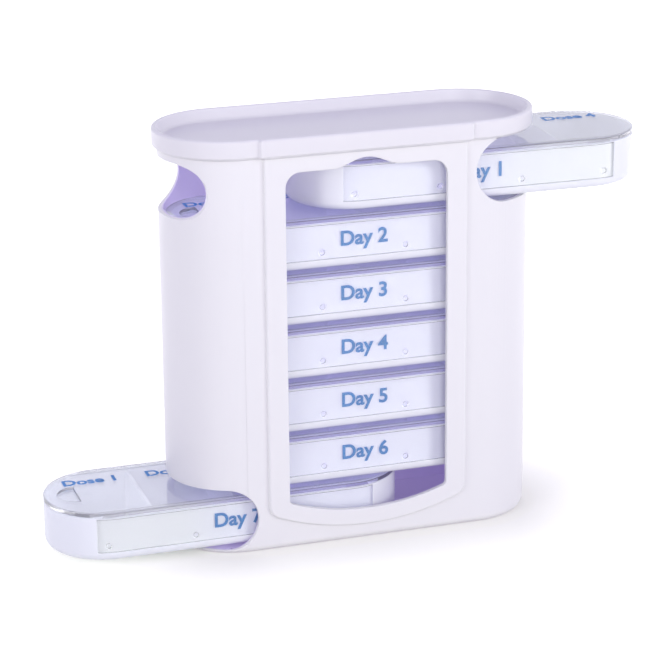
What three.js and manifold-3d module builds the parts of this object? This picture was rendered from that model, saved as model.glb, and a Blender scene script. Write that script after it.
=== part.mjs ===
// Weekly pill organizer: a tower casing on a flat floor, a cap plugged into its top, and a stack of
// seven lidded drawers that leave it at the lower left and go back in at the upper right.
// Millimetres, +Z up, +X right, +Y to the back. The origin is the centre of the casing's underside.

import * as THREE from 'three';
import { mergeVertices } from 'three/addons/utils/BufferGeometryUtils.js';
import Module from 'manifold-3d';

const wasm = await Module();
wasm.setup();

// Casing
const casingLength = 120;
const casingDepth = 43;
const casingWall = 1.8;
const casingFloor = 1.2;
const casingBottomRound = 2.4;
const headRoom = 3.35;

// Raised front panel, whose foot is a wide arc
const panelWidth = 65.8;
const panelProud = 1.1;
const panelEdgeRound = 0.8;
const panelFootHeight = 5.15;
const panelFootRadius = 80;
const panelCorner = 5;

// Window in the panel, with a thumb arch in its top edge
const windowWidth = 52.4;
const windowTopBand = 5;
const windowTopCorner = 4.8;
const windowFootBand = 5.6;
const windowFootCorner = 1.6;
const archWidth = 20.8;
const archRise = 3;
const archShoulderShare = 0.45;
const archCrownShare = 0.55;

// Ways through the two round ends
const exitReach = 23.8;
const lowerExitClearance = 2.75;
const upperExitRise = 0.2;
const fingerHoleReach = 10.4;
const fingerHoleRadius = 8.7;
const fingerHoleBand = 2.25;

// Cap
const capHeight = 6.4;
const capOverhang = 1.5;
const capChamfer = 1;
const capRimWidth = 1.7;
const capRimRound = 0.9;
const capRimInnerRound = 0.5;
const capRecessDepth = 4;
const capRecessDraft = 0.5;
const capPlate = 1.4;
const capSkirtDepth = 2.4;
const capSkirtWall = 1.5;

// Drawers
const drawerCount = 7;
const drawerClearance = 0.4;
const seatGap = 0.3;
const trayHeight = 14.65;
const trayWall = 2;
const trayFloor = 1.2;
const trayBottomRound = 2.6;
const scoopRadius = 5;
const dividerPitch = 27.3;
const dividerWall = 1.2;
const runnerHeight = 0.9;
const runnerWidth = 1.6;
const runnerSpread = 20;
const runnerInset = 1.5;

// Lids, which slide lengthwise on two dovetail ribs
const lidThickness = 1.5;
const lidEdgeRound = 0.4;
const ribInset = 1.35;
const ribHeight = 0.6;
const ribNeckWidth = 0.7;
const ribHeadWidth = 1;
const ribEndInset = 2.5;
const thumbRadius = 6.4;
const thumbDepth = 0.9;
const thumbEndDistance = 10.5;

// Clear label plates, snapped into the drawer fronts on four pegs
const plateThickness = 0.8;
const plateWrap = 6.6;
const plateTopMargin = 0.5;
const plateFootMargin = 3.1;
const pegRadius = 0.8;
const pegLength = 0.7;
const pegWrap = 3.1;
const pegRise = 2.1;

// Where the photographed drawers stand, out of the casing
const topDrawerOut = 38.8;
const bottomDrawerOut = 42.4;

// One length that every cut runs past the faces it opens
const overrun = 5;

// Facets
const casingArcSteps = 24;
const drawerArcSteps = 12;
const roundSteps = 3;
const scoopSteps = 3;
const curveSteps = 8;
const pegSides = 8;

// Worked out from the sizes above
const casingRadius = casingDepth / 2;
const halfStraight = casingLength / 2 - casingRadius;
const boreRadius = casingRadius - casingWall;
const drawerRadius = boreRadius - drawerClearance;
const lidBottom = runnerHeight + trayHeight + seatGap;
const lidTop = lidBottom + lidThickness;
const pitch = lidTop + seatGap;
const bodyHeight = casingFloor + drawerCount * pitch + headRoom;
const panelFront = casingRadius + panelProud;
const footCentreHeight = panelFootHeight + panelFootRadius;
const topUnitBase = bodyHeight - headRoom - pitch;

// Turns a closed three.js geometry into a solid that can be joined and cut.
function solidOf(geometry) {
  const bare = geometry.clone();
  bare.deleteAttribute('normal');
  bare.deleteAttribute('uv');
  const merged = mergeVertices(bare);
  return new wasm.Manifold(new wasm.Mesh({
    numProp: 3,
    vertProperties: new Float32Array(merged.attributes.position.array),
    triVerts: new Uint32Array(merged.index.array),
  }));
}

// Turns a finished solid back into a geometry.
function geometryOf(solid) {
  const mesh = solid.getMesh();
  const geometry = new THREE.BufferGeometry();
  geometry.setAttribute('position', new THREE.BufferAttribute(mesh.vertProperties, 3));
  geometry.setIndex(new THREE.BufferAttribute(mesh.triVerts, 1));
  geometry.computeVertexNormals();
  return geometry;
}

// A stadium outline, anticlockwise: two half circles joined by straight sides.
function stadium(half, radius, steps) {
  const points = [];
  for (const side of [1, -1]) {
    for (let i = 0; i <= steps; i++) {
      const angle = Math.PI * (i / steps - side / 2);
      points.push(new THREE.Vector2(side * half + radius * Math.cos(angle), radius * Math.sin(angle)));
    }
  }
  return points;
}

// A rectangle outline with round corners, anticlockwise.
function roundedRectangle(halfWidth, front, back, radius, steps) {
  const points = [];
  const corners = [
    [halfWidth - radius, front + radius, -0.5],
    [halfWidth - radius, back - radius, 0],
    [radius - halfWidth, back - radius, 0.5],
    [radius - halfWidth, front + radius, 1],
  ];
  for (const [x, y, turn] of corners) {
    for (let i = 0; i <= steps; i++) {
      const angle = Math.PI * (turn + i / steps / 2);
      points.push(new THREE.Vector2(x + radius * Math.cos(angle), y + radius * Math.sin(angle)));
    }
  }
  return points;
}

// A closed solid through convex outlines of equal point counts, stacked from the bottom up.
function loft(rings) {
  const count = rings[0].outline.length;
  const positions = [];
  const index = [];
  for (const { z, outline } of rings) {
    for (const point of outline) positions.push(point.x, point.y, z);
  }
  for (let level = 0; level + 1 < rings.length; level++) {
    for (let i = 0; i < count; i++) {
      const a = level * count + i;
      const b = level * count + (i + 1) % count;
      index.push(a, b, b + count, a, b + count, a + count);
    }
  }
  const last = (rings.length - 1) * count;
  for (let i = 1; i + 1 < count; i++) {
    index.push(0, i + 1, i);
    index.push(last, last + i, last + i + 1);
  }
  const geometry = new THREE.BufferGeometry();
  geometry.setAttribute('position', new THREE.Float32BufferAttribute(positions, 3));
  geometry.setIndex(index);
  return solidOf(geometry);
}

// Heights and insets of a side wall whose lower and upper edges are rounded outward.
function roundedSide(bottom, top, bottomRound, topRound) {
  const side = [];
  for (let i = 0; i <= roundSteps && bottomRound > 0; i++) {
    const angle = Math.PI * i / roundSteps / 2;
    side.push({ z: bottom + bottomRound * (1 - Math.cos(angle)), inset: bottomRound * (1 - Math.sin(angle)) });
  }
  if (bottomRound === 0) side.push({ z: bottom, inset: 0 });
  if (topRound === 0) side.push({ z: top, inset: 0 });
  for (let i = 0; i <= roundSteps && topRound > 0; i++) {
    const angle = Math.PI * i / roundSteps / 2;
    side.push({ z: top - topRound * (1 - Math.sin(angle)), inset: topRound * (1 - Math.cos(angle)) });
  }
  return side;
}

// A stadium prism whose side follows a list of heights and insets.
function stadiumSolid(radius, side, steps) {
  return loft(side.map(({ z, inset }) => ({ z, outline: stadium(halfStraight, radius - inset, steps) })));
}

// A stadium prism with straight sides.
function stadiumPrism(radius, bottom, top, steps) {
  return stadiumSolid(radius, [{ z: bottom, inset: 0 }, { z: top, inset: 0 }], steps);
}

// A box between two corners.
function box(low, high) {
  const size = high.clone().sub(low);
  const geometry = new THREE.BoxGeometry(size.x, size.y, size.z);
  geometry.translate(low.x + size.x / 2, low.y + size.y / 2, low.z + size.z / 2);
  return solidOf(geometry);
}

// Extrudes a shape drawn in x and z from one y to another, both edges rounded by edgeRound.
function extrudeAcross(shape, front, back, edgeRound = 0) {
  const geometry = new THREE.ExtrudeGeometry(shape, {
    depth: back - front - 2 * edgeRound,
    curveSegments: curveSteps,
    bevelEnabled: edgeRound > 0,
    bevelThickness: edgeRound,
    bevelSize: edgeRound,
    bevelOffset: -edgeRound,
    bevelSegments: roundSteps,
  });
  const turn = new THREE.Matrix4().makeBasis(
    new THREE.Vector3(1, 0, 0), new THREE.Vector3(0, 0, 1), new THREE.Vector3(0, -1, 0));
  geometry.applyMatrix4(turn);
  geometry.translate(0, back - edgeRound, 0);
  return solidOf(geometry);
}

// Extrudes a shape drawn in y and z from one x to another.
function extrudeAlong(shape, left, right) {
  const geometry = new THREE.ExtrudeGeometry(shape, { depth: right - left, bevelEnabled: false });
  const turn = new THREE.Matrix4().makeBasis(
    new THREE.Vector3(0, 1, 0), new THREE.Vector3(0, 0, 1), new THREE.Vector3(1, 0, 0));
  geometry.applyMatrix4(turn);
  geometry.translate(left, 0, 0);
  return solidOf(geometry);
}

// The panel and the window share this foot: a wide arc whose ends are rounded into upright sides.
function sweptFoot(shape, halfWidth, footRadius, corner) {
  const x = halfWidth - corner;
  const drop = Math.sqrt((footRadius - corner) ** 2 - x ** 2);
  const z = footCentreHeight - drop;
  const tangent = Math.atan2(-drop, x);
  shape.absarc(x, z, corner, 0, tangent, true);
  shape.absarc(0, footCentreHeight, footRadius, tangent, -Math.PI - tangent, true);
  shape.absarc(-x, z, corner, -Math.PI - tangent, -Math.PI, true);
}

// Outline of the raised panel, drawn in by an inset. It runs past the casing's top.
function panelOutline(inset) {
  const halfWidth = panelWidth / 2 - inset;
  const top = bodyHeight + overrun;
  const shape = new THREE.Shape();
  shape.moveTo(-halfWidth, top);
  shape.lineTo(halfWidth, top);
  sweptFoot(shape, halfWidth, panelFootRadius - inset, panelCorner - inset);
  shape.closePath();
  return shape;
}

// Outline of the window, with the thumb arch in its top edge.
function windowOutline() {
  const half = windowWidth / 2;
  const top = bodyHeight - windowTopBand;
  const arch = archWidth / 2;
  const shoulder = arch * archShoulderShare;
  const crown = arch * archCrownShare;
  const shape = new THREE.Shape();
  shape.moveTo(-arch, top);
  shape.bezierCurveTo(-shoulder, top, -crown, top + archRise, 0, top + archRise);
  shape.bezierCurveTo(crown, top + archRise, shoulder, top, arch, top);
  shape.absarc(half - windowTopCorner, top - windowTopCorner, windowTopCorner, Math.PI / 2, 0, true);
  sweptFoot(shape, half, panelFootRadius - windowFootBand, windowFootCorner);
  shape.absarc(windowTopCorner - half, top - windowTopCorner, windowTopCorner, Math.PI, Math.PI / 2, true);
  shape.closePath();
  return shape;
}

// A round-nosed notch that runs out past one end of the casing. side is 1 at the right, -1 at the left.
function endNotch(side, reach, radius, centreHeight, top) {
  const x = side * (casingLength / 2 - reach + radius);
  const end = side * (casingLength / 2 + overrun);
  const shape = new THREE.Shape();
  shape.moveTo(end, centreHeight - radius);
  shape.lineTo(x, centreHeight - radius);
  shape.absarc(x, centreHeight, radius, -Math.PI / 2, Math.PI / 2, side > 0);
  shape.lineTo(x, top);
  shape.lineTo(end, top);
  shape.closePath();
  return extrudeAcross(shape, -casingRadius - overrun, casingRadius + overrun);
}

const lowerExitRadius = (pitch + lowerExitClearance) / 2;
const upperExitRadius = (pitch + headRoom + upperExitRise) / 2;

// The bottom drawer comes out through this notch.
function lowerExit() {
  const centre = casingFloor + lowerExitRadius;
  return endNotch(-1, exitReach, lowerExitRadius, centre, centre + lowerExitRadius);
}

// The top drawer comes out, and goes back in, through this notch, which the cap closes above.
function upperExit() {
  return endNotch(1, exitReach, upperExitRadius, topUnitBase + upperExitRadius, bodyHeight + overrun);
}

// A finger pushes the top drawer out through this hole.
function fingerHole() {
  const centre = bodyHeight - fingerHoleBand - fingerHoleRadius;
  return endNotch(-1, fingerHoleReach, fingerHoleRadius, centre, centre + fingerHoleRadius);
}

function casing() {
  const shell = stadiumSolid(
    casingRadius, roundedSide(0, bodyHeight, casingBottomRound, 0), casingArcSteps);
  const panel = extrudeAcross(panelOutline(0), -panelFront, -boreRadius + panelProud, panelEdgeRound);
  const relief = extrudeAcross(panelOutline(casingWall), casingWall - panelFront, 0);
  const bore = stadiumPrism(boreRadius, casingFloor, bodyHeight + 2 * overrun, casingArcSteps);
  const above = box(
    new THREE.Vector3(-casingLength, -casingDepth, bodyHeight),
    new THREE.Vector3(casingLength, casingDepth, bodyHeight + 2 * overrun));
  const window = extrudeAcross(windowOutline(), -panelFront - overrun, 0);
  return shell.add(panel).subtract(above).subtract(bore).subtract(relief).subtract(window)
    .subtract(lowerExit()).subtract(upperExit()).subtract(fingerHole());
}

// The cap's outline: the casing's stadium and the panel's step, both grown by the overhang.
function capSolid(side) {
  const round = capRimWidth;
  const step = side.map(({ z, inset }) => ({
    z,
    outline: roundedRectangle(
      panelWidth / 2 + capOverhang - inset, inset - panelFront - capOverhang, casingRadius - inset,
      round, roundSteps),
  }));
  return stadiumSolid(casingRadius + capOverhang, side, casingArcSteps).add(loft(step));
}

function cap() {
  const top = bodyHeight + capHeight;
  const rim = roundedSide(bodyHeight + capChamfer, top, 0, capRimRound);
  const body = capSolid([{ z: bodyHeight, inset: capChamfer }, ...rim]);
  const recessFloor = top - capRecessDepth;
  const recess = capSolid([
    { z: recessFloor, inset: capRimWidth + capRecessDraft },
    { z: top - capRimInnerRound, inset: capRimWidth },
    { z: top, inset: capRimWidth - capRimInnerRound },
    { z: top + overrun, inset: capRimWidth - capRimInnerRound },
  ]);
  const skirtRadius = boreRadius - seatGap;
  const skirtBottom = bodyHeight - capSkirtDepth;
  const plateBottom = recessFloor - capPlate;
  const skirt = stadiumPrism(skirtRadius, skirtBottom, plateBottom, casingArcSteps);
  const hollow = stadiumPrism(skirtRadius - capSkirtWall, skirtBottom - overrun, plateBottom, casingArcSteps);
  const exitGap = box(
    new THREE.Vector3(casingLength / 2 - exitReach, -casingDepth, skirtBottom - overrun),
    new THREE.Vector3(casingLength, casingDepth, bodyHeight));
  return body.subtract(recess).add(skirt).subtract(hollow).subtract(exitGap);
}

// The band around a drawer's front face, between two radii and two heights.
function frontBand(outerRadius, innerRadius, halfLength, bottom, top) {
  const outer = stadiumPrism(outerRadius, bottom, top, drawerArcSteps);
  const inner = stadiumPrism(innerRadius, bottom - overrun, top + overrun, drawerArcSteps);
  const span = box(
    new THREE.Vector3(-halfLength, -casingDepth, bottom), new THREE.Vector3(halfLength, 0, top));
  return outer.subtract(inner).intersect(span);
}

// The four pegs behind a label plate, grown by a clearance for the sockets that hold them.
function pegs(clearance) {
  const backRadius = drawerRadius - plateThickness;
  const height = runnerHeight + plateFootMargin + pegRise;
  let all = null;
  for (const side of [-1, 1]) {
    for (const { x, y } of [
      { x: side * dividerPitch / 2, y: -backRadius },
      { x: side * (halfStraight + pegWrap), y: -Math.sqrt(backRadius ** 2 - pegWrap ** 2) },
    ]) {
      const length = pegLength + plateThickness / 2 + clearance;
      const peg = new THREE.CylinderGeometry(pegRadius + clearance, pegRadius + clearance, length, pegSides);
      peg.translate(x, y - plateThickness / 2 + length / 2, height);
      all = all ? all.add(solidOf(peg)) : solidOf(peg);
    }
  }
  return all;
}

// Cross-section of a lid rib, or of its groove when grown by a clearance.
function ribOutline(centre, clearance) {
  const neck = ribNeckWidth / 2 + clearance;
  const head = ribHeadWidth / 2 + clearance;
  const root = runnerHeight + trayHeight;
  const shape = new THREE.Shape();
  shape.moveTo(centre - neck, root - clearance);
  shape.lineTo(centre + neck, root - clearance);
  shape.lineTo(centre + neck, root + seatGap);
  shape.lineTo(centre + head, root + seatGap + ribHeight + clearance);
  shape.lineTo(centre - head, root + seatGap + ribHeight + clearance);
  shape.lineTo(centre - neck, root + seatGap);
  shape.closePath();
  return shape;
}

function tray() {
  const bottom = runnerHeight;
  const top = bottom + trayHeight;
  const floorTop = bottom + trayFloor;
  const outer = stadiumSolid(drawerRadius, roundedSide(bottom, top, trayBottomRound, 0), drawerArcSteps);
  const scoop = [];
  for (let i = 0; i <= scoopSteps; i++) {
    const angle = Math.PI * i / scoopSteps / 2;
    scoop.push({
      z: floorTop + scoopRadius * (1 - Math.cos(angle)),
      inset: scoopRadius * (1 - Math.sin(angle)),
    });
  }
  scoop.push({ z: top + overrun, inset: 0 });
  let hollow = stadiumSolid(drawerRadius - trayWall, scoop, drawerArcSteps);
  for (const place of [-1, 0, 1]) {
    const x = place * dividerPitch;
    hollow = hollow.subtract(box(
      new THREE.Vector3(x - dividerWall / 2, -casingDepth, bottom),
      new THREE.Vector3(x + dividerWall / 2, casingDepth, top + 2 * overrun)));
  }
  let solid = outer.subtract(hollow);
  for (const side of [-1, 1]) {
    const runner = box(
      new THREE.Vector3(runnerInset - halfStraight, side * runnerSpread / 2 - runnerWidth / 2, 0),
      new THREE.Vector3(halfStraight - runnerInset, side * runnerSpread / 2 + runnerWidth / 2,
        bottom + trayFloor / 2));
    const rib = extrudeAlong(
      ribOutline(side * (drawerRadius - ribInset), 0), ribEndInset - halfStraight, halfStraight - ribEndInset);
    solid = solid.add(runner).add(rib);
  }
  const recess = frontBand(
    drawerRadius + overrun, drawerRadius - plateThickness - seatGap, halfStraight + plateWrap + seatGap,
    bottom + plateFootMargin - seatGap, top - plateTopMargin + seatGap);
  return solid.subtract(recess).subtract(pegs(seatGap));
}

function lid() {
  let solid = stadiumSolid(drawerRadius, roundedSide(lidBottom, lidTop, 0, lidEdgeRound), drawerArcSteps);
  for (const side of [-1, 1]) {
    const groove = ribOutline(side * (drawerRadius - ribInset), seatGap);
    solid = solid.subtract(extrudeAlong(groove, -casingLength, casingLength));
  }
  const thumb = new THREE.Shape();
  thumb.absarc(0, 0, thumbRadius, Math.PI / 2, 3 * Math.PI / 2, false);
  thumb.closePath();
  const cut = new THREE.ExtrudeGeometry(thumb, {
    depth: thumbDepth + overrun,
    curveSegments: curveSteps,
    bevelEnabled: false,
  });
  cut.translate(thumbEndDistance - halfStraight - drawerRadius, 0, lidTop - thumbDepth);
  return solid.subtract(solidOf(cut));
}

function labelPlate() {
  const plate = frontBand(
    drawerRadius, drawerRadius - plateThickness, halfStraight + plateWrap,
    runnerHeight + plateFootMargin, runnerHeight + trayHeight - plateTopMargin);
  return plate.add(pegs(0));
}

const casingPlastic = new THREE.MeshStandardMaterial({ color: 0xe9e6f5, roughness: 0.35, metalness: 0 });
const capPlastic = new THREE.MeshStandardMaterial({ color: 0xe4e0f2, roughness: 0.32, metalness: 0 });
const trayPlastic = new THREE.MeshStandardMaterial({ color: 0xf1f2f8, roughness: 0.3, metalness: 0 });
const lidPlastic = new THREE.MeshStandardMaterial({
  color: 0xdfe0ee, roughness: 0.12, metalness: 0, transparent: true, opacity: 0.35,
});
const platePlastic = new THREE.MeshStandardMaterial({
  color: 0xeef1fb, roughness: 0.15, metalness: 0, transparent: true, opacity: 0.5,
});

const organizer = new THREE.Group();

function addPiece(parent, name, geometry, material) {
  const mesh = new THREE.Mesh(geometry, material.clone());
  mesh.name = name;
  parent.add(mesh);
}

addPiece(organizer, 'tower_casing', geometryOf(casing()), casingPlastic);
addPiece(organizer, 'top_cap', geometryOf(cap()), capPlastic);

const trayGeometry = geometryOf(tray());
const lidGeometry = geometryOf(lid());
const plateGeometry = geometryOf(labelPlate());

// Day 1 is the top drawer, as in the photographed stack.
for (let day = 1; day <= drawerCount; day++) {
  const drawer = new THREE.Group();
  drawer.position.z = casingFloor + seatGap + (drawerCount - day) * pitch;
  if (day === 1) drawer.position.x = topDrawerOut;
  if (day === drawerCount) drawer.position.x = -bottomDrawerOut;
  addPiece(drawer, `tray_${day}`, trayGeometry, trayPlastic);
  addPiece(drawer, `lid_${day}`, lidGeometry, lidPlastic);
  addPiece(drawer, `label_plate_${day}`, plateGeometry, platePlastic);
  organizer.add(drawer);
}

export default organizer;
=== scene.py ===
"""A weekly pill organizer: a tower of seven lidded drawers in a pale lavender casing."""

import math

import bpy
import numpy as np
from mathutils import Matrix, Vector


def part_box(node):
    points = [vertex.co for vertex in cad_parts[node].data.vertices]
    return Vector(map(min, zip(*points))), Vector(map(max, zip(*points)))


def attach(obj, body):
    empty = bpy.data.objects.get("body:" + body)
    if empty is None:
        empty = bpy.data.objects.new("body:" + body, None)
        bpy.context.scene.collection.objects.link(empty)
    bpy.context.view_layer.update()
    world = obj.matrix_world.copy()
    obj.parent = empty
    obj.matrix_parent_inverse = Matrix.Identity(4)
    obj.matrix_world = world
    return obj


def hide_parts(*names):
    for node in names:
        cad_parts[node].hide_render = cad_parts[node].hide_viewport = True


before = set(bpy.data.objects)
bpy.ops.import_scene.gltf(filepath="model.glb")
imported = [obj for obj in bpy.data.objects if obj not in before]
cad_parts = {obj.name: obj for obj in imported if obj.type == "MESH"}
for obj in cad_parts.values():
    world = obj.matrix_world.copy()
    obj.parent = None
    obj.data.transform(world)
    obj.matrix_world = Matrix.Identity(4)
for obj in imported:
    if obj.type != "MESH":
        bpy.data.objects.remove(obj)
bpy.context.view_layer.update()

MM = 0.001
DAYS = 7
DOSES = 4

# Casing, from the frame
casing_low, casing_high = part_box("tower_casing")
END_RADIUS = casing_high.y
HALF_STRAIGHT = casing_high.x - END_RADIUS
BODY_TOP = casing_high.z
PANEL_FRONT = -casing_low.y
WALL = 1.8 * MM
CASING_FLOOR = 1.2 * MM
BORE_RADIUS = END_RADIUS - WALL
BOTTOM_ROUND = 2.4 * MM
CASING_EDGE = 0.22 * MM

# Raised panel and window
PANEL_HALF = 32.9 * MM
PANEL_ROUND = 0.8 * MM
PANEL_CORNER = 5 * MM
FOOT_RADIUS = 80 * MM
FOOT_CENTRE = 85.15 * MM
WINDOW_HALF = 26.2 * MM
WINDOW_TOP = BODY_TOP - 5 * MM
WINDOW_TOP_CORNER = 4.8 * MM
WINDOW_FOOT_BAND = 5.6 * MM
WINDOW_FOOT_CORNER = 1.6 * MM
ARCH_HALF = 10.4 * MM
ARCH_RISE = 3 * MM
ARCH_POWER = 0.8  # under 1 the bell is fuller

# Drawers, from the frame: heights are above a drawer's own runners
lid_low, lid_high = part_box("lid_4")
tray_low, tray_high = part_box("tray_4")
plate_low, plate_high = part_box("label_plate_4")
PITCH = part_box("lid_3")[1].z - lid_high.z
DRAWER_RADIUS = lid_high.y
LID_BOTTOM = lid_low.z - tray_low.z
LID_TOP = lid_high.z - tray_low.z
LID_ROUND = 0.4 * MM
LID_EDGE = 0.07 * MM
SEAT_GAP = 0.3 * MM
TRAY_TOP = LID_BOTTOM - SEAT_GAP
RUNNER_HEIGHT = 0.9 * MM
TRAY_WALL = 2 * MM
TRAY_FLOOR = RUNNER_HEIGHT + 1.2 * MM
TRAY_ROUND = 2.6 * MM
TRAY_EDGE = 0.08 * MM
SCOOP = 5 * MM
DIVIDER_PITCH = 27.3 * MM
DIVIDER_HALF = 0.6 * MM
DIVIDER_FILLET = 0.15  # the share of its scoop that a basin keeps beside a divider
BASIN_CORNER = 1.3 * MM
BASIN_LIP = 0.2 * MM
RUNNER_SIDE = 10 * MM
RUNNER_HALF = 0.8 * MM
RUNNER_END = HALF_STRAIGHT - 1.5 * MM
RUNNER_TOP = TRAY_FLOOR - 0.6 * MM
RIB_SIDE = DRAWER_RADIUS - 1.35 * MM
RIB_NECK = 0.35 * MM
RIB_HEAD = 0.5 * MM
RIB_HEIGHT = 0.6 * MM
RIB_END = HALF_STRAIGHT - 2.5 * MM
PLATE_HALF = plate_high.x
PLATE_BOTTOM = plate_low.z - tray_low.z
PLATE_TOP = plate_high.z - tray_low.z
PLATE_THICKNESS = 0.8 * MM
PLATE_GAP = 0.07 * MM
PLATE_EDGE = 0.1 * MM
PEG_RADIUS = 0.8 * MM
PEG_LENGTH = 0.7 * MM
PEG_HEIGHT = PLATE_BOTTOM + 2.1 * MM
PEG_OUTER = HALF_STRAIGHT + 3.1 * MM
PEG_POINTS = 24
THUMB_RADIUS = 6.4 * MM
THUMB_DEPTH = 0.9 * MM
THUMB_END = 10.5 * MM

# Ways through the round ends
EXIT_REACH = 23.8 * MM
LOWER_EXIT_RADIUS = (PITCH + 2.75 * MM) / 2
UPPER_EXIT_RADIUS = (PITCH + 3.55 * MM) / 2
UPPER_EXIT_FOOT = BODY_TOP - 3.35 * MM - PITCH
FINGER_REACH = 10.4 * MM
FINGER_RADIUS = 8.7 * MM
FINGER_BAND = 2.25 * MM

# Cap, from the frame
cap_low, cap_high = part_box("top_cap")
CAP_TOP = cap_high.z
CAP_OVERHANG = cap_high.x - casing_high.x
CAP_CHAMFER = 1 * MM
CAP_ROUND = 0.9 * MM
CAP_INNER_ROUND = 0.5 * MM
CAP_RIM = 1.7 * MM
CAP_FLOOR = CAP_TOP - 4 * MM
CAP_FLOOR_ROUND = 1.2 * MM
CAP_PLATE = 1.4 * MM
CAP_SKIRT_WALL = 1.5 * MM
CAP_DRAFT = 0.5 * MM
CAP_STEP_EASE = 1.1 * MM
CAP_EDGE = 0.2 * MM

# Blue print: a capital's height and how much its strokes are fattened, and where it lies
FRONT_PRINT = (4.8 * MM, 0.16 * MM)
FRONT_PRINT_BASE = 7.85 * MM
FRONT_PRINT_GAP = 0.05 * MM
LID_PRINT = (4.6 * MM, 0.2 * MM)
LID_PRINT_BACK = 7.4 * MM
LID_PRINT_LIFT = 0.01 * MM
PRINT_HALF_THICKNESS = 0.02 * MM
CAPITAL_SHARE = 0.73  # a capital's height as a share of the font's size

# How far a cutter runs past what it cuts, a hair's play, and how many steps the curves have
PAST = 5 * MM
FAR = 2 * casing_high.x
HAIR = 0.1 * MM
END_STEPS = 56
ROUND_STEPS = 6
LIP_STEPS = 3
CORNER_STEPS = 8
FOOT_STEPS = 48
WINDOW_CORNER_STEPS = 12
ARCH_STEPS = 32
NOSE_STEPS = 40
CAP_STEP_STEPS = 8

# Plastics: the pale colour and that of its cloudier patches; in the bore a painted shade and a painted glow
# with the ramp they fade in over, a painted glow under the cap, clear tints, and black for no glow
CASING_COLOURS = ((0.86, 0.857, 0.842), (0.85, 0.846, 0.837))
CAP_COLOURS = ((0.826, 0.818, 0.82), (0.816, 0.808, 0.815))
TRAY_COLOURS = ((0.81, 0.822, 0.832), (0.80, 0.812, 0.827))
INK_COLOURS = ((0.045, 0.22, 0.56), (0.05, 0.24, 0.60))
BORE_SHADE = (0.66, 0.60, 0.82)
BORE_LIGHT = (0.07, 0.055, 0.105)
BORE_FADE = 0.8 * MM
CAP_UNDER_LIGHT = (0.28, 0.26, 0.35)
LID_COLOUR = (0.825, 0.84, 0.89)
PLATE_COLOUR = (0.866, 0.874, 0.872)
DARK = (0, 0, 0)

# Painted light, out in the open and where the casing holds it: a painted glow on the tray's walls and in its
# compartments, a painted shade on the lid's upright sides, and a painted highlight on the lid's round edge
TRAY_WALL_LIGHT = ((0.06, 0.07, 0.09), (0.035, 0.035, 0.045))
TRAY_BASIN_LIGHT = ((0.14, 0.135, 0.16), (0.16, 0.14, 0.325))
LID_SIDE_SHADE = ((0.6, 0.6, 0.62), (0.37, 0.36, 0.46))
LID_EDGE_LIGHT = ((0.12, 0.12, 0.13), (0.185, 0.177, 0.32))

# Surface: depth of the orange peel, waves of noise to a metre, and how much the gloss varies
PLASTIC_IOR = 1.49
PEEL_DEPTH = 0.00002
PEEL_WAVES = 900
CLEAR_PEEL_WAVES = 120
CLOUD_WAVES = 28
GLOSS_PLAY = 0.06
SCATTER = 2 * MM

# Lamps: name, place, size, watts, and whether gloss shows it
LAMPS = (
    ("right", (0.8, -0.83, 0.4), 0.4, 4.6, False),
    ("left", (-0.94, -0.55, 0.4), 0.6, 3.15, True),
    ("front", (-0.1, -1.2, 0.35), 0.7, 2.3, True),
    ("back", (0.15, 1.2, 0.62), 0.8, 3, False),
    ("rear left", (-0.6, 1.1, 0.3), 0.6, 2, False),
)
LAMP_AIM = (0, 0, 0.06)
WORLD_COLOUR = (0.72, 0.675, 1)
WORLD_STRENGTH = 0.595
WHITE = (1, 1, 1)

# Floor: its colour, and for a painted shadow, how much less it glows near the casing, from how far out,
# fading over how far
FLOOR_COLOUR = (0.8, 0.8, 0.72)
FLOOR_HALF = 4
FLOOR_SHADES = ((-0.45, 20 * MM, 200 * MM), (-0.3, 3 * MM, 25 * MM))

# Camera: degrees, metres and pixels
CAMERA_ANGLES = (-18.06, 18.239, -0.434)
CAMERA_DISTANCE = 0.8155
CAMERA_TARGET = (0, 0, 0.065)
CAMERA_FOCAL = 2544.92
CAMERA_CENTRE = (345.84, 325.34)
PICTURE = 650
SENSOR = 36


# Meshes

def link_object(name, data):
    """Puts one object at the origin into the scene."""
    obj = bpy.data.objects.new(name, data)
    bpy.context.scene.collection.objects.link(obj)
    return obj


def mesh_object(name, vertices, faces):
    """A mesh object at the origin from an array of points and a list of faces."""
    mesh = bpy.data.meshes.new(name)
    mesh.from_pydata(np.asarray(vertices).tolist(), [], faces)
    mesh.update()
    return link_object(name, mesh)


def finished_mesh(obj):
    """The mesh that an object shows once its curve or its modifiers are worked out."""
    graph = bpy.context.evaluated_depsgraph_get()
    return bpy.data.meshes.new_from_object(obj.evaluated_get(graph))


def tube_faces(rows, columns):
    """Quads between stacked closed rings, and one face to close each end."""
    i = np.arange(rows - 1)[:, None] * columns
    j = np.arange(columns)[None, :]
    k = (j + 1) % columns
    quads = np.stack([i + j, i + k, i + columns + k, i + columns + j], -1).reshape(-1, 4)
    last = (rows - 1) * columns
    return quads.tolist() + [list(range(columns - 1, -1, -1)), list(range(last, last + columns))]


def stadium(half, radius, steps=END_STEPS):
    """Points of two half circles about (half, 0) and (-half, 0), anticlockwise."""
    turn = np.linspace(-math.pi / 2, math.pi / 2, steps + 1)
    right = np.stack([half + radius * np.cos(turn), radius * np.sin(turn)], -1)
    return np.concatenate([right, -right])


def stacked(name, outlines, heights):
    """A solid through equal outlines in x and y, one at each height."""
    points = np.stack(outlines)
    z = np.broadcast_to(np.asarray(heights)[:, None, None], points.shape[:2] + (1,))
    xyz = np.concatenate([points, z], -1)
    return mesh_object(name, xyz.reshape(-1, 3), tube_faces(*points.shape[:2]))


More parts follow.
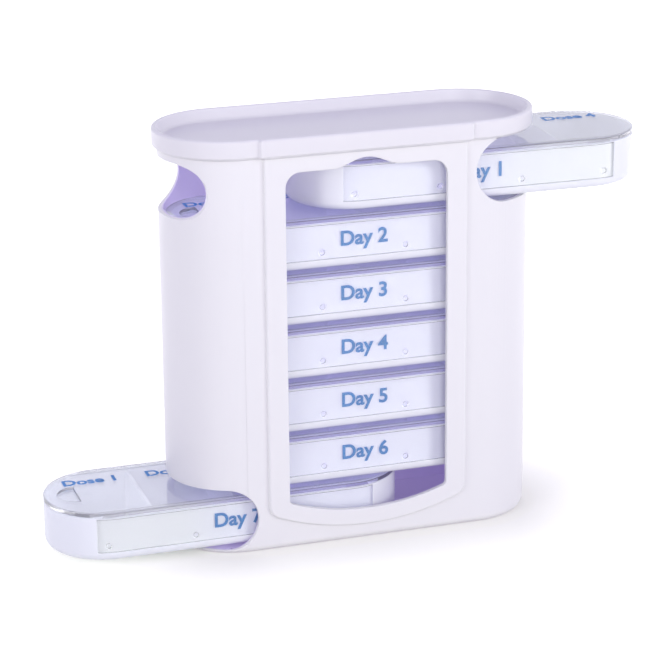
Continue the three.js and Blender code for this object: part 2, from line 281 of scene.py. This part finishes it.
def across(name, outlines, depths):
    """A solid through equal outlines in x and z, anticlockwise from the front, one at each y, back first."""
    points = np.stack(outlines)
    y = np.broadcast_to(np.asarray(depths)[:, None], points.shape[:2])
    xyz = np.stack([points[..., 0], y, points[..., 1]], -1)
    return mesh_object(name, xyz.reshape(-1, 3), tube_faces(*points.shape[:2]))


def along(name, outline, left, right):
    """A solid whose section in y and z runs from one x to another."""
    rows = [np.insert(outline, 0, x, axis=1) for x in (left, right)]
    return mesh_object(name, np.concatenate(rows), tube_faces(2, len(outline)))


def rounded_side(bottom, top, bottom_round=0, top_round=0):
    """Insets and heights up a wall: a quarter circle at each edge that is rounded, straight between."""
    turn = np.linspace(0, math.pi / 2, ROUND_STEPS + 1)
    lag, lead = 1 - np.sin(turn), 1 - np.cos(turn)
    low = np.stack([bottom_round * lag, bottom + bottom_round * lead], -1)
    high = np.stack([top_round * lead, top - top_round * lag], -1)
    return np.concatenate([low if bottom_round else low[-1:], high if top_round else high[:1]])


def stadium_solid(name, radius, side):
    """A stadium drawn in by each inset of a side at its height."""
    outlines = [stadium(HALF_STRAIGHT, radius - inset) for inset, _ in side]
    return stacked(name, outlines, [z for _, z in side])


def block(name, low, high):
    """A box between two corners, as a cutter or a plain rib."""
    (x0, y0, z0), (x1, y1, z1) = low, high
    outline = np.array([(x0, y0), (x1, y0), (x1, y1), (x0, y1)])
    return stacked(name, [outline, outline], [z0, z1])


def combine(target, tool, operation):
    """Cuts or joins one closed mesh with another, and removes the tool."""
    change = target.modifiers.new(operation.lower(), "BOOLEAN")
    change.operation = operation
    change.solver = "EXACT"
    change.object = tool
    mesh = finished_mesh(target)
    target.modifiers.clear()
    target.data = mesh
    bpy.data.objects.remove(tool)
    return target


def cut(target, *tools):
    """The target less each tool in turn."""
    for tool in tools:
        combine(target, tool, "DIFFERENCE")
    return target


def join(target, *tools):
    """The target and each tool in turn as one closed mesh."""
    for tool in tools:
        combine(target, tool, "UNION")
    return target


def soften(obj, width):
    """Rounds edges over 35 degrees and shades faces by their area; wide faces are split, so none folds."""
    weld = obj.modifiers.new("weld", "WELD")
    weld.merge_threshold = 0.05 * MM
    split = obj.modifiers.new("split", "TRIANGULATE")
    split.min_vertices = 5
    bevel = obj.modifiers.new("edge", "BEVEL")
    bevel.width = width
    bevel.segments = 2
    bevel.limit_method = "ANGLE"
    bevel.angle_limit = math.radians(35)
    bevel.use_clamp_overlap = False
    bevel.loop_slide = False
    normals = obj.modifiers.new("normals", "WEIGHTED_NORMAL")
    normals.keep_sharp = False
    normals.weight = 80
    obj.data.shade_smooth()


def mark(obj, name, domain, share):
    """Keeps a share from 0 to 1 for each point or face as the piece's own attribute."""
    attribute = obj.data.attributes.new(name, "FLOAT", domain)
    attribute.data.foreach_set("value", share.astype(float))


def reach_and_height(obj):
    """Each point's distance from the line between the centres of the round ends, and its height."""
    points = np.empty(len(obj.data.vertices) * 3)
    obj.data.vertices.foreach_get("co", points)
    x, y, z = points.reshape(-1, 3).T
    return np.hypot(np.maximum(np.abs(x) - HALF_STRAIGHT, 0), y), z


def mark_basins(obj):
    """Marks each point of a tray for its painted glow: 1 in its compartments, 0 on its outside, even between
    across the wall.
    """
    reach, z = reach_and_height(obj)
    share = np.clip((DRAWER_RADIUS - BASIN_LIP - reach) / (TRAY_WALL - 2 * BASIN_LIP), 0, 1)
    share[z < TRAY_FLOOR - HAIR] = 0
    mark(obj, "inner", "POINT", share)


def mark_under(obj):
    """Marks each point of the cap for its painted glow: 1 on what hangs inside the bore, 0 elsewhere."""
    reach, z = reach_and_height(obj)
    mark(obj, "inner", "POINT", (z < CAP_FLOOR - CAP_PLATE / 2) & (reach < BORE_RADIUS))


def mark_sides(obj):
    """Marks each face of a lid by how far up it looks, from 0 for upright to 1 for flat:
    "side" is 1 up to 0.3 and falls to 0 at 0.8, for the painted shade, and "edge" is 1 between 0.15 and 0.97,
    for the painted highlight."""
    normals = np.empty(len(obj.data.polygons) * 3)
    obj.data.polygons.foreach_get("normal", normals)
    up = normals[2::3]
    mark(obj, "side", "FACE", np.clip(1.6 - 2 * np.abs(up), 0, 1))
    mark(obj, "edge", "FACE", (up > 0.15) & (up < 0.97))


def dress(obj, body, slot, material, *nodes):
    """Gives a finished piece its plastic and its body, and hides the frame's pieces that it stands for; slot
    is not used.
    """
    obj.data.materials.clear()
    obj.data.materials.append(material)
    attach(obj, body)
    if nodes:
        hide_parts(*nodes)


# Outlines

def arc(x, z, radius, start, end, steps):
    """Points of a circular arc between two angles in degrees."""
    turn = np.radians(np.linspace(start, end, steps + 1))
    return np.stack([x + radius * np.cos(turn), z + radius * np.sin(turn)], -1)


def swept_foot(half, radius, corner):
    """A wide arc whose ends round into upright sides, from left to right."""
    x = half - corner
    drop = math.sqrt((radius - corner) ** 2 - x ** 2)
    turn = math.degrees(math.atan2(-drop, x))
    return np.concatenate([
        arc(-x, FOOT_CENTRE - drop, corner, 180, 180 - turn, CORNER_STEPS)[:-1],
        arc(0, FOOT_CENTRE, radius, -180 - turn, turn, FOOT_STEPS),
        arc(x, FOOT_CENTRE - drop, corner, turn, 0, CORNER_STEPS)[1:],
    ])


def panel_outline(inset):
    """The raised panel drawn in by an inset: the swept foot, and straight up past the casing's top."""
    half = PANEL_HALF - inset
    top = BODY_TOP + PAST
    foot = swept_foot(half, FOOT_RADIUS - inset, PANEL_CORNER - inset)
    return np.concatenate([foot, [(half, top), (-half, top)]])


def window_outline():
    """The foot, two round top corners and a bell-shaped thumb arch, anticlockwise from the lower left."""
    foot = swept_foot(WINDOW_HALF, FOOT_RADIUS - WINDOW_FOOT_BAND, WINDOW_FOOT_CORNER)
    x = WINDOW_HALF - WINDOW_TOP_CORNER
    z = WINDOW_TOP - WINDOW_TOP_CORNER
    across_arch = np.linspace(1, -1, ARCH_STEPS + 1)
    bell = WINDOW_TOP + ARCH_RISE * (0.5 + 0.5 * np.cos(math.pi * across_arch)) ** ARCH_POWER
    arch = np.stack([ARCH_HALF * across_arch, bell], -1)
    return np.concatenate([
        foot,
        arc(x, z, WINDOW_TOP_CORNER, 0, 90, WINDOW_CORNER_STEPS),
        arch,
        arc(-x, z, WINDOW_TOP_CORNER, 90, 180, WINDOW_CORNER_STEPS),
    ])


def end_notch(name, side, reach, radius, centre, top):
    """A cutter with a half-round nose that runs out past one end, straight through from front to back."""
    x = casing_high.x - reach + radius
    end = casing_high.x + PAST
    nose = arc(x, centre, radius, 270, 90, NOSE_STEPS)
    above = [(x, top)] if top > centre + radius + MM else []
    outline = np.concatenate([nose, above + [(end, top), (end, centre - radius)]])
    if side > 0:
        outline = outline[::-1]
    outline = outline * (side, 1)
    return across(name, [outline, outline], [END_RADIUS + PAST, -END_RADIUS - PAST])


# Materials

def set_inputs(node, values):
    """Writes plain values straight onto a node's named inputs; a colour of three gets its fourth."""
    for name, value in values.items():
        colour = isinstance(value, tuple) and node.inputs[name].type == "RGBA"
        node.inputs[name].default_value = (*value, 1) if colour else value


def maths(tree, operation, *values, clamp=False):
    """One step of arithmetic on plain numbers and other nodes' outputs."""
    node = tree.nodes.new("ShaderNodeMath")
    node.operation = operation
    node.use_clamp = clamp
    for socket, value in zip(node.inputs, values):
        if isinstance(value, (int, float)):
            socket.default_value = value
        else:
            tree.links.new(value, socket)
    return node.outputs[0]


def cloudy(tree, scale, detail=2):
    """Smooth noise between 0 and 1 on Object coordinates, with so many waves to a metre."""
    place = tree.nodes.new("ShaderNodeTexCoord")
    noise = tree.nodes.new("ShaderNodeTexNoise")
    set_inputs(noise, {"Scale": scale, "Detail": detail})
    tree.links.new(place.outputs["Object"], noise.inputs["Vector"])
    return noise.outputs["Fac"]


def bumped(tree, height, strength):
    """Tilts the Principled BSDF's normal by a height, as deep as the peel."""
    bump = tree.nodes.new("ShaderNodeBump")
    set_inputs(bump, {"Distance": PEEL_DEPTH, "Strength": strength})
    tree.links.new(height, bump.inputs["Height"])
    tree.links.new(bump.outputs["Normal"], tree.nodes["Principled BSDF"].inputs["Normal"])


def object_place(tree):
    """The x, y and z of a point in Object coordinates."""
    place = tree.nodes.new("ShaderNodeTexCoord")
    split = tree.nodes.new("ShaderNodeSeparateXYZ")
    tree.links.new(place.outputs["Object"], split.inputs[0])
    return split.outputs


def falling(tree, value, start, end):
    """1 where a value is at its start or under, 0 at its end or over, straight between."""
    ramp = tree.nodes.new("ShaderNodeMapRange")
    set_inputs(ramp, {"From Min": start, "From Max": end, "To Min": 1, "To Max": 0})
    tree.links.new(value, ramp.inputs["Value"])
    return ramp.outputs["Result"]


def inner_mask(tree, radius, ramp):
    """1 inside the stadium of a radius, 0 a ramp further out, by the length of (x past the straight, y)."""
    x, y, _ = object_place(tree)
    past = maths(tree, "SUBTRACT", maths(tree, "ABSOLUTE", x), HALF_STRAIGHT)
    flat = tree.nodes.new("ShaderNodeCombineXYZ")
    tree.links.new(maths(tree, "MAXIMUM", past, 0), flat.inputs["X"])
    tree.links.new(y, flat.inputs["Y"])
    reach = tree.nodes.new("ShaderNodeVectorMath")
    reach.operation = "LENGTH"
    tree.links.new(flat.outputs[0], reach.inputs[0])
    return falling(tree, reach.outputs["Value"], radius, radius + ramp)


def held_mask(tree):
    """1 where a drawer stands well within the casing's length, 0 past the casing's ends."""
    x, _, _ = object_place(tree)
    return falling(tree, maths(tree, "ABSOLUTE", x), casing_high.x - EXIT_REACH, casing_high.x)


def own(tree, attribute):
    """One of the piece's own attributes."""
    share = tree.nodes.new("ShaderNodeAttribute")
    share.attribute_name = attribute
    return share.outputs["Fac"]


def blend(tree, factor, low, high):
    """From low to high by a factor, each of them a colour or another node's colour."""
    mix = tree.nodes.new("ShaderNodeMix")
    mix.data_type = "RGBA"
    tree.links.new(factor, mix.inputs["Factor"])
    for name, value in (("A", low), ("B", high)):
        if isinstance(value, tuple):
            mix.inputs[name].default_value = (*value, 1)
        else:
            tree.links.new(value, mix.inputs[name])
    return mix.outputs["Result"]


def mix_shaders(tree, factor, low, high, output):
    """From one shader to another by a factor, as what the material or the world puts out."""
    mix = tree.nodes.new("ShaderNodeMixShader")
    for source, socket in zip((factor, low, high), mix.inputs):
        tree.links.new(source, socket)
    tree.links.new(mix.outputs[0], tree.nodes[output].inputs["Surface"])


def give(tree, socket, colour):
    """Feeds a colour to the Principled BSDF; emission gets a strength of 1."""
    shader = tree.nodes["Principled BSDF"]
    tree.links.new(colour, shader.inputs[socket])
    if socket == "Emission Color":
        shader.inputs["Emission Strength"].default_value = 1


def new_material(name):
    """A material with nodes, its node tree and its Principled BSDF."""
    material = bpy.data.materials.new(name)
    material.use_nodes = True
    return material, material.node_tree, material.node_tree.nodes["Principled BSDF"]


def moulded_group():
    """As moulded plastic has: clouds mix the two colours and roughen the gloss, fine noise is the peel."""
    group = bpy.data.node_groups.new("moulded surface", "ShaderNodeTree")
    for name, in_out, kind in (
            ("Colour", "INPUT", "Color"), ("Deep colour", "INPUT", "Color"), ("Roughness", "INPUT", "Float"),
            ("Colour", "OUTPUT", "Color"), ("Roughness", "OUTPUT", "Float"), ("Height", "OUTPUT", "Float")):
        group.interface.new_socket(name, in_out=in_out, socket_type=f"NodeSocket{kind}")
    start = group.nodes.new("NodeGroupInput")
    end = group.nodes.new("NodeGroupOutput")
    clouds = cloudy(group, CLOUD_WAVES, 3)
    patches = blend(group, clouds, start.outputs["Colour"], start.outputs["Deep colour"])
    group.links.new(patches, end.inputs["Colour"])
    gloss = maths(group, "MULTIPLY_ADD", clouds, GLOSS_PLAY, start.outputs["Roughness"])
    group.links.new(gloss, end.inputs["Roughness"])
    group.links.new(cloudy(group, PEEL_WAVES), end.inputs["Height"])
    return group


moulded = moulded_group()


def plastic(name, colours, roughness, soft=0.0):
    """Moulded plastic of a pale and a cloudier colour; soft is how much light scatters under its skin."""
    material, tree, shader = new_material(name)
    surface = tree.nodes.new("ShaderNodeGroup")
    surface.node_tree = moulded
    set_inputs(surface, {"Colour": colours[0], "Deep colour": colours[1], "Roughness": roughness})
    bumped(tree, surface.outputs["Height"], 0.6)
    tree.links.new(surface.outputs["Colour"], shader.inputs["Base Color"])
    tree.links.new(surface.outputs["Roughness"], shader.inputs["Roughness"])
    set_inputs(shader, {
        "IOR": PLASTIC_IOR,
        "Subsurface Weight": soft,
        "Subsurface Radius": (1, 1, 1),
        "Subsurface Scale": SCATTER,
    })
    return material, tree, surface.outputs["Colour"]


def casing_material():
    """Pale lavender outside; inside the bore a deeper painted shade and a painted lavender glow stand in for
    light passed through the plastic.
    """
    material, tree, pale = plastic("lavender casing", CASING_COLOURS, roughness=0.28, soft=0.3)
    mask = inner_mask(tree, BORE_RADIUS + HAIR, BORE_FADE)
    give(tree, "Base Color", blend(tree, mask, pale, BORE_SHADE))
    give(tree, "Emission Color", blend(tree, mask, DARK, BORE_LIGHT))
    return material


def cap_material():
    """Pale lavender, with a painted lavender glow on what hangs inside the bore."""
    material, tree, _ = plastic("lavender cap", CAP_COLOURS, roughness=0.28, soft=0.4)
    give(tree, "Emission Color", blend(tree, own(tree, "inner"), DARK, CAP_UNDER_LIGHT))
    return material


def tray_material():
    """Cool white plastic with a painted glow: lavender where the casing holds it, most of all in its
    compartments, and near neutral out in the open.
    """
    material, tree, _ = plastic("cool white tray", TRAY_COLOURS, roughness=0.21, soft=0.5)
    held = held_mask(tree)
    walls = blend(tree, held, *TRAY_WALL_LIGHT)
    basins = blend(tree, held, *TRAY_BASIN_LIGHT)
    give(tree, "Emission Color", blend(tree, own(tree, "inner"), walls, basins))
    return material


def clear(name, colour, roughness, through=1):
    """Clear moulded plastic that lets the lamps' light through to what lies behind it."""
    material, tree, shader = new_material(name)
    set_inputs(shader, {
        "Base Color": colour,
        "Roughness": roughness,
        "IOR": PLASTIC_IOR,
        "Transmission Weight": through,
    })
    bumped(tree, cloudy(tree, CLEAR_PEEL_WAVES), 0.5)
    passing = tree.nodes.new("ShaderNodeBsdfTransparent")
    set_inputs(passing, {"Color": colour})
    path = tree.nodes.new("ShaderNodeLightPath")
    mix_shaders(tree, path.outputs["Is Shadow Ray"], shader.outputs[0], passing.outputs[0], "Material Output")
    return material, tree


def lid_material():
    """Clear plastic with a painted shade on its upright sides, deeper where the casing holds it, and a
    painted highlight glowing on its round edge.
    """
    material, tree = clear("clear lid", LID_COLOUR, roughness=0.05, through=0.8)
    held = held_mask(tree)
    side = blend(tree, held, *LID_SIDE_SHADE)
    give(tree, "Base Color", blend(tree, own(tree, "side"), LID_COLOUR, side))
    edge = blend(tree, held, *LID_EDGE_LIGHT)
    give(tree, "Emission Color", blend(tree, own(tree, "edge"), DARK, edge))
    return material


casing_plastic = casing_material()
cap_plastic = cap_material()
tray_plastic = tray_material()
lid_plastic = lid_material()
plate_plastic = clear("clear label plate", PLATE_COLOUR, roughness=0.06)[0]
ink = plastic("blue print", INK_COLOURS, roughness=0.45)[0]


# Casing

def casing_body():
    """A stadium and a raised panel, less the bore, the relief behind the panel, the window and three ways."""
    body = stadium_solid("casing", END_RADIUS, rounded_side(0, BODY_TOP, BOTTOM_ROUND))
    turn = np.linspace(0, math.pi / 2, ROUND_STEPS + 1)
    insets = np.concatenate([[0], PANEL_ROUND * (1 - np.cos(turn))])
    depths = np.concatenate([[-BORE_RADIUS], -PANEL_FRONT + PANEL_ROUND * (1 - np.sin(turn))])
    join(body, across("panel", [panel_outline(inset) for inset in insets], depths))
    cut(body, block("above", (-FAR, -FAR, BODY_TOP), (FAR, FAR, BODY_TOP + 4 * PAST)))
    cut(body, stadium_solid("bore", BORE_RADIUS, rounded_side(CASING_FLOOR, BODY_TOP + 2 * PAST)))
    relief = panel_outline(WALL)
    cut(body, across("relief", [relief, relief], [0, WALL - PANEL_FRONT]))
    window = window_outline()
    cut(body, across("window", [window, window], [0, -PANEL_FRONT - PAST]))
    lower, upper = LOWER_EXIT_RADIUS, UPPER_EXIT_RADIUS
    finger = BODY_TOP - FINGER_BAND - FINGER_RADIUS
    cut(
        body,
        end_notch("lower exit", -1, EXIT_REACH, lower, CASING_FLOOR + lower, CASING_FLOOR + 2 * lower),
        end_notch("upper exit", 1, EXIT_REACH, upper, UPPER_EXIT_FOOT + upper, BODY_TOP + PAST),
        end_notch("finger hole", -1, FINGER_REACH, FINGER_RADIUS, finger, finger + FINGER_RADIUS),
    )
    body.name = "casing_shell"
    soften(body, CASING_EDGE)
    dress(body, "tower", "casing", casing_plastic, "tower_casing")


# Cap

def cap_outline(inset):
    """The stadium, with the front pushed out by the panel's step, whose ends are eased over a short way."""
    half = PANEL_HALF + CAP_OVERHANG - inset
    ease = CAP_STEP_EASE
    x = np.concatenate([
        [-HALF_STRAIGHT],
        np.linspace(-half - ease / 2, -half + ease / 2, CAP_STEP_STEPS + 1),
        np.linspace(half - ease / 2, half + ease / 2, CAP_STEP_STEPS + 1),
    ])
    share = np.clip((half + ease / 2 - np.abs(x)) / ease, 0, 1)
    step = (PANEL_FRONT - END_RADIUS) * share * share * (3 - 2 * share)
    radius = END_RADIUS + CAP_OVERHANG - inset
    front = np.stack([x, -radius - step], -1)
    return np.concatenate([front[1:], stadium(HALF_STRAIGHT, radius)])


def cap_body():
    """The outline stacked up a rounded side, less the recess, with a hollow skirt cut away over one exit."""
    outer = [(CAP_CHAMFER, BODY_TOP), *rounded_side(BODY_TOP + CAP_CHAMFER, CAP_TOP, 0, CAP_ROUND)]
    body = stacked("cap", [cap_outline(inset) for inset, _ in outer], [z for _, z in outer])
    turn = np.linspace(0, math.pi / 2, ROUND_STEPS + 1)
    lag, lead = 1 - np.sin(turn), 1 - np.cos(turn)
    floor_inset = CAP_RIM + CAP_DRAFT + CAP_FLOOR_ROUND * lag
    floor_height = CAP_FLOOR + CAP_FLOOR_ROUND * lead
    rim_inset = CAP_RIM - CAP_INNER_ROUND * lead
    rim_height = CAP_TOP - CAP_INNER_ROUND * lag
    insets = [*floor_inset, *rim_inset, CAP_RIM - CAP_INNER_ROUND]
    heights = [*floor_height, *rim_height, CAP_TOP + PAST]
    cut(body, stacked("recess", [cap_outline(inset) for inset in insets], heights))
    skirt = BORE_RADIUS - SEAT_GAP
    plate_bottom = CAP_FLOOR - CAP_PLATE
    join(body, stadium_solid("skirt", skirt, rounded_side(cap_low.z, plate_bottom)))
    hollow_side = rounded_side(cap_low.z - PAST, plate_bottom)
    gap_low = (casing_high.x - EXIT_REACH, -2 * END_RADIUS, cap_low.z - PAST)
    cut(
        body,
        stadium_solid("hollow", skirt - CAP_SKIRT_WALL, hollow_side),
        block("exit gap", gap_low, (FAR, 2 * END_RADIUS, BODY_TOP)),
    )
    body.name = "cap_shell"
    mark_under(body)
    soften(body, CAP_EDGE)
    dress(body, "tower", "cap", cap_plastic, "top_cap")


# Drawers

def rib_outline(centre, clearance):
    """The dovetail's section in y and z, wider at its head."""
    neck, head = RIB_NECK + clearance, RIB_HEAD + clearance
    foot = TRAY_TOP - max(clearance, SEAT_GAP)
    seat = TRAY_TOP + SEAT_GAP
    top = TRAY_TOP + SEAT_GAP + RIB_HEIGHT + clearance
    return np.array([
        (centre - neck, foot),
        (centre + neck, foot),
        (centre + neck, seat),
        (centre + head, top),
        (centre - head, top),
        (centre - neck, seat),
    ])


def front_band(name, outer, inner, half, bottom, top):
    """The part of the ring between two stadiums that lies on the front, up to a half length."""
    band = stadium_solid(name, outer, rounded_side(bottom, top))
    cut(band, stadium_solid("inner", inner, rounded_side(bottom - PAST, top + PAST)))
    span = block("span", (-half, -FAR, bottom - PAST), (half, 0, top + PAST))
    return combine(band, span, "INTERSECT")


def peg_places():
    """Where the four pegs leave the plate's back: two on its straight part, two on its round ends."""
    back = DRAWER_RADIUS - PLATE_THICKNESS
    outer_y = -math.sqrt(back ** 2 - (PEG_OUTER - HALF_STRAIGHT) ** 2)
    inner = DIVIDER_PITCH / 2
    return [(-PEG_OUTER, outer_y), (-inner, -back), (inner, -back), (PEG_OUTER, outer_y)]


def peg(x, y, radius, length):
    """A round bar from halfway through the plate to its length behind it."""
    circle = arc(x, PEG_HEIGHT, radius, 0, 360 - 360 / PEG_POINTS, PEG_POINTS - 1)
    return across("peg", [circle, circle], [y + length, y - PLATE_THICKNESS / 2])


def basin_outline(left, inset):
    """One compartment: flat beside its divider, then across to the next one or round the drawer's end."""
    reach = DRAWER_RADIUS - TRAY_WALL - inset
    wall = DIVIDER_HALF + (inset if inset < 0 else DIVIDER_FILLET * inset)
    x0, corner = left + wall, BASIN_CORNER
    near = arc(x0 + corner, corner - reach, corner, 180, 270, ROUND_STEPS)
    far = near[::-1] * (1, -1)
    if left > 0:
        turn = np.linspace(-math.pi / 2, math.pi / 2, END_STEPS // 2 + 1)
        end = np.stack([HALF_STRAIGHT + reach * np.cos(turn), reach * np.sin(turn)], -1)
    else:
        end = np.concatenate([near[::-1], far[::-1]]) * (-1, 1) + (2 * left + DIVIDER_PITCH, 0)
    return np.concatenate([near, end, far])


def basin(left, mirrored):
    """The cutter for one compartment, scooped along its foot and eased at its lip."""
    turn = np.linspace(0, math.pi / 2, LIP_STEPS + 1)[1:]
    lip = np.stack([BASIN_LIP * (np.cos(turn) - 1), TRAY_TOP + BASIN_LIP * (np.sin(turn) - 1)], -1)
    scooped = rounded_side(TRAY_FLOOR, TRAY_TOP - BASIN_LIP, SCOOP)
    side = np.concatenate([scooped, lip, [(-BASIN_LIP, TRAY_TOP + PAST)]])
    outlines = [basin_outline(left, inset) for inset, _ in side]
    if mirrored:
        outlines = [(outline * (-1, 1))[::-1] for outline in outlines]
    return stacked("basin", outlines, [z for _, z in side])


def tray_body():
    """A rounded stadium less four basins, with runners and ribs, less the plate's recess and peg holes."""
    outer = rounded_side(RUNNER_HEIGHT, TRAY_TOP, TRAY_ROUND, BASIN_LIP)
    body = stadium_solid("tray", DRAWER_RADIUS, outer)
    for left in (0, DIVIDER_PITCH):
        cut(body, basin(left, False), basin(left, True))
    for side in (-1, 1):
        y = side * RUNNER_SIDE
        high = (RUNNER_END, y + RUNNER_HALF, RUNNER_TOP)
        join(body, block("runner", (-RUNNER_END, y - RUNNER_HALF, 0), high))
        join(body, along("rib", rib_outline(side * RIB_SIDE, 0), -RIB_END, RIB_END))
    cut(body, front_band(
        "recess", DRAWER_RADIUS + PAST, DRAWER_RADIUS - PLATE_THICKNESS - SEAT_GAP, PLATE_HALF + PLATE_GAP,
        PLATE_BOTTOM - PLATE_GAP, PLATE_TOP + PLATE_GAP))
    for x, y in peg_places():
        cut(body, peg(x, y, PEG_RADIUS + SEAT_GAP, PEG_LENGTH + SEAT_GAP))
    mark_basins(body)
    return body


def lid_body():
    """A stadium with a round top edge, less the two grooves for the ribs and the half-moon for a thumb."""
    body = stadium_solid("lid", DRAWER_RADIUS, rounded_side(LID_BOTTOM, LID_TOP, 0, LID_ROUND))
    for side in (-1, 1):
        cut(body, along("groove", rib_outline(side * RIB_SIDE, SEAT_GAP), -FAR, FAR))
    x = THUMB_END - HALF_STRAIGHT - DRAWER_RADIUS
    thumb = arc(x, 0, THUMB_RADIUS, 90, 270, NOSE_STEPS)
    cut(body, stacked("thumb", [thumb, thumb], [LID_TOP - THUMB_DEPTH, LID_TOP + PAST]))
    mark_sides(body)
    return body


def plate_body():
    """The front band of a ring as thick as the plate, with its four pegs."""
    body = front_band(
        "plate", DRAWER_RADIUS, DRAWER_RADIUS - PLATE_THICKNESS, PLATE_HALF, PLATE_BOTTOM, PLATE_TOP)
    for x, y in peg_places():
        join(body, peg(x, y, PEG_RADIUS, PEG_LENGTH))
    return body


def lettering(name, words, cap_height, weight):
    """Printed characters as a thin mesh: x along the line about its centre, y up from the baseline."""
    curve = bpy.data.curves.new(name, "FONT")
    curve.body = words
    curve.align_x = "CENTER"
    curve.size = cap_height / CAPITAL_SHARE
    curve.offset = weight
    curve.extrude = PRINT_HALF_THICKNESS
    curve.resolution_u = 6
    source = link_object(name, curve)
    mesh = finished_mesh(source)
    bpy.data.objects.remove(source)
    return link_object(name, mesh)


def copy_at(master, name, offset):
    """The master's mesh once more, moved by an offset."""
    mesh = master.data.copy()
    mesh.transform(Matrix.Translation(offset))
    return link_object(name, mesh)


def drawers():
    """Each day's tray, lid, label plate and print, at the place of that day's lid in the frame."""
    masters = (
        ("tray", tray_body(), TRAY_EDGE, tray_plastic, "tray"),
        ("lid", lid_body(), LID_EDGE, lid_plastic, "lid"),
        ("plate", plate_body(), PLATE_EDGE, plate_plastic, "label_plate"),
    )
    bodies = {1: ("top_drawer", "top_lid"), DAYS: ("bottom_drawer", "bottom_lid")}
    upright = Matrix.Rotation(math.pi / 2, 4, "X")
    for day in range(1, DAYS + 1):
        drawer, lid = bodies.get(day, ("tower", "tower"))
        low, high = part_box(f"lid_{day}")
        offset = Vector(((low.x + high.x) / 2, 0, low.z - LID_BOTTOM))
        for slot, master, edge, material, node in masters:
            piece = copy_at(master, f"{slot}_shell_{day}", offset)
            soften(piece, edge)
            dress(piece, lid if slot == "lid" else drawer, slot, material, f"{node}_{day}")
        words = lettering(f"front_print_{day}", f"Day {day}", *FRONT_PRINT)
        words.data.transform(upright)
        behind = PLATE_THICKNESS + FRONT_PRINT_GAP - DRAWER_RADIUS
        words.data.transform(Matrix.Translation(offset + Vector((0, behind, FRONT_PRINT_BASE))))
        dress(words, drawer, "plate", ink)
        for dose in range(DOSES):
            number = lettering(f"lid_print_{day}_{dose + 1}", f"Dose {dose + 1}", *LID_PRINT)
            x = DIVIDER_PITCH * (dose - (DOSES - 1) / 2)
            place = Vector((x, LID_PRINT_BACK, LID_TOP + LID_PRINT_LIFT))
            number.data.transform(Matrix.Translation(offset + place))
            dress(number, lid, "lid", ink)
    for _, master, _, _, _ in masters:
        bpy.data.objects.remove(master)


# Camera, light and floor

def camera():
    """Looks back at its target from three angles and a distance; the shifts move the picture's centre."""
    azimuth, elevation, roll = (math.radians(a) for a in CAMERA_ANGLES)
    back = Vector((
        math.sin(azimuth) * math.cos(elevation),
        -math.cos(azimuth) * math.cos(elevation),
        math.sin(elevation)))
    flat_right = Vector((math.cos(azimuth), math.sin(azimuth), 0))
    flat_up = back.cross(flat_right)
    right = math.cos(roll) * flat_right + math.sin(roll) * flat_up
    up = math.cos(roll) * flat_up - math.sin(roll) * flat_right
    data = bpy.data.cameras.new("camera")
    data.sensor_width = SENSOR
    data.lens = CAMERA_FOCAL / PICTURE * SENSOR
    data.shift_x = (PICTURE / 2 - CAMERA_CENTRE[0]) / PICTURE
    data.shift_y = (CAMERA_CENTRE[1] - PICTURE / 2) / PICTURE
    data.clip_start, data.clip_end = 0.05, 20
    obj = link_object("camera", data)
    place = Matrix.Translation(Vector(CAMERA_TARGET) + back * CAMERA_DISTANCE)
    obj.matrix_world = place @ Matrix((right, up, back)).transposed().to_4x4()
    bpy.context.scene.camera = obj


def lamp(name, place, size, watts, in_gloss):
    """A round area lamp turned from its place towards the object."""
    data = bpy.data.lights.new(name, "AREA")
    data.shape = "DISK"
    data.size = size
    data.energy = watts
    obj = link_object(name, data)
    obj.location = place
    obj.rotation_euler = (Vector(LAMP_AIM) - Vector(place)).to_track_quat("-Z", "Y").to_euler()
    obj.visible_glossy = in_gloss


def undiffused(tree, path):
    """1 for a ray that has met no matt surface yet, 0 for one that has."""
    return maths(tree, "LESS_THAN", path.outputs["Diffuse Depth"], 0.5)


def white_world():
    """White where it is looked at, straight or by way of gloss and glass, and a lavender light elsewhere."""
    world = bpy.data.worlds.new("white studio")
    bpy.context.scene.world = world
    world.use_nodes = True
    tree = world.node_tree
    light = tree.nodes["Background"]
    set_inputs(light, {"Color": WORLD_COLOUR, "Strength": WORLD_STRENGTH})
    seen = tree.nodes.new("ShaderNodeBackground")
    set_inputs(seen, {"Color": WHITE, "Strength": 1})
    path = tree.nodes.new("ShaderNodeLightPath")
    mix_shaders(tree, undiffused(tree, path), light.outputs[0], seen.outputs[0], "World Output")


def white_floor():
    """A matt floor that glows white where it is looked at, less near the casing as a painted shadow beside
    its real one, and lights nothing.
    """
    half = FLOOR_HALF
    floor = mesh_object(
        "floor", [(-half, -half, 0), (half, -half, 0), (half, half, 0), (-half, half, 0)], [[0, 1, 2, 3]])
    material, tree, shader = new_material("white floor")
    set_inputs(shader, {
        "Base Color": FLOOR_COLOUR,
        "Roughness": 0.9,
        "Specular IOR Level": 0,
        "Emission Color": WHITE,
    })
    path = tree.nodes.new("ShaderNodeLightPath")
    looking = path.outputs["Is Camera Ray"]
    for ray in ("Is Glossy Ray", "Is Transmission Ray"):
        looking = maths(tree, "ADD", looking, path.outputs[ray], clamp=True)
    seen = maths(tree, "MULTIPLY", looking, undiffused(tree, path))
    white = 1
    # Painted shadow: the floor's glow drops near the casing
    for share, reach, ramp in FLOOR_SHADES:
        white = maths(tree, "MULTIPLY_ADD", inner_mask(tree, END_RADIUS + reach, ramp), share, white)
    tree.links.new(maths(tree, "MULTIPLY", seen, white), shader.inputs["Emission Strength"])
    floor.data.materials.append(material)


camera()
casing_body()
cap_body()
drawers()
white_world()
for lamp_values in LAMPS:
    lamp(*lamp_values)
white_floor()
bpy.context.scene.view_settings.view_transform = "Standard"
